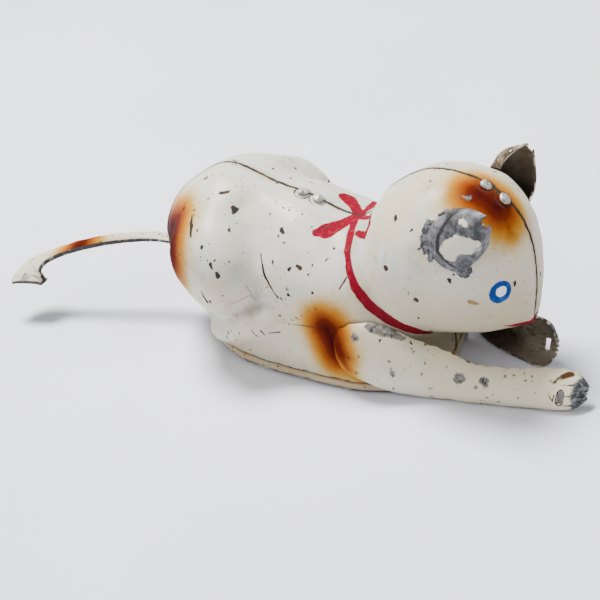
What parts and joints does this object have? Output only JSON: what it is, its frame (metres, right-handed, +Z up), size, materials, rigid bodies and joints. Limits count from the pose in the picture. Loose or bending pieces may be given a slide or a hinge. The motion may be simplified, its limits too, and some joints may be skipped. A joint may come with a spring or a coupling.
{
  "type": "clockwork cat",
  "caption": "Wind-up pressed-tin cat crouching over its forepaws; a side key drives hidden wheels while the tail sways in a slot.",
  "frame": {"origin": "on the floor in the centre plane, below the rear of the body near the drive axle", "axes": "+X from the tail to the nose, +Y to the cat's left (the key side), +Z up from the floor"},
  "size_m": [0.1712, 0.0624, 0.0552],
  "materials": {
    "cream_tin": "semi-gloss enamel, chipped and yellowed",
    "worn_ear_tin": "paint mostly worn to grey metal",
    "bright_tin": "satin",
    "motor_steel": "satin",
    "blued_steel": "blued spring steel",
    "brass": "dull",
    "wheel_tin": "dark, oiled"
  },
  "bodies": {
    "chassis": {"shell_right": "cream_tin", "shell_left": "cream_tin", "base_pan": "cream_tin", "seam_tabs": "bright_tin", "arm_right": "cream_tin", "arm_left": "cream_tin", "ear_right": "worn_ear_tin", "ear_left": "worn_ear_tin", "plate_right": "motor_steel", "plate_left": "motor_steel", "pillars": "motor_steel", "mainspring": "blued_steel", "tail_bracket": "motor_steel", "tail_pivot": "motor_steel"},
    "drive": {"drive_axle": "motor_steel", "drive_pinion": "motor_steel", "wheel_right": "wheel_tin", "wheel_left": "wheel_tin"},
    "second": {"second_arbor": "motor_steel", "second_pinion": "motor_steel", "second_wheel": "brass", "wobble_disc": "brass"},
    "great": {"great_wheel": "brass", "click_rivet": "motor_steel"},
    "winder": {"winding_arbor": "motor_steel", "ratchet_wheel": "blued_steel", "key": "brass"},
    "click_lever": {"click": "blued_steel"},
    "tail_arm": {"tail": "cream_tin", "tail_lever": "motor_steel", "tail_rivet": "motor_steel"}
  },
  "joints": [
    {"name": "wheels_run", "type": "hinge", "parent": "chassis", "child": "drive", "pos_m": [0.002, 0, 0.007], "axis": [0, 1, 0], "continuous": true},
    {"name": "second_run", "type": "hinge", "parent": "chassis", "child": "second", "pos_m": [0.00916, 0, 0.016], "axis": [0, 1, 0], "continuous": true},
    {"name": "great_run", "type": "hinge", "parent": "chassis", "child": "great", "pos_m": [0.02453, 0, 0.022], "axis": [0, 1, 0], "continuous": true},
    {"name": "ratchet_wind", "type": "hinge", "parent": "great", "child": "winder", "pos_m": [0.02453, 0, 0.022], "axis": [0, 1, 0], "continuous": true, "deforming": ["mainspring"]},
    {"name": "click_lift", "type": "hinge", "parent": "great", "child": "click_lever", "pos_m": [0.02935, 0, 0.02888], "axis": [0, 1, 0], "range_deg": [0, 14], "stiffness_Nm_per_rad": 0.0004, "springref_deg": -11.46},
    {"name": "tail_sway", "type": "hinge", "parent": "chassis", "child": "tail_arm", "pos_m": [-0.012, 0, 0.022], "axis": [0, 0, 1], "range_deg": [-9, 9]}
  ],
  "couplings": [
    {"joint": "second_run", "follows": "wheels_run", "ratio": -0.27778},
    {"joint": "great_run", "follows": "wheels_run", "ratio": 0.061728}
  ]
}
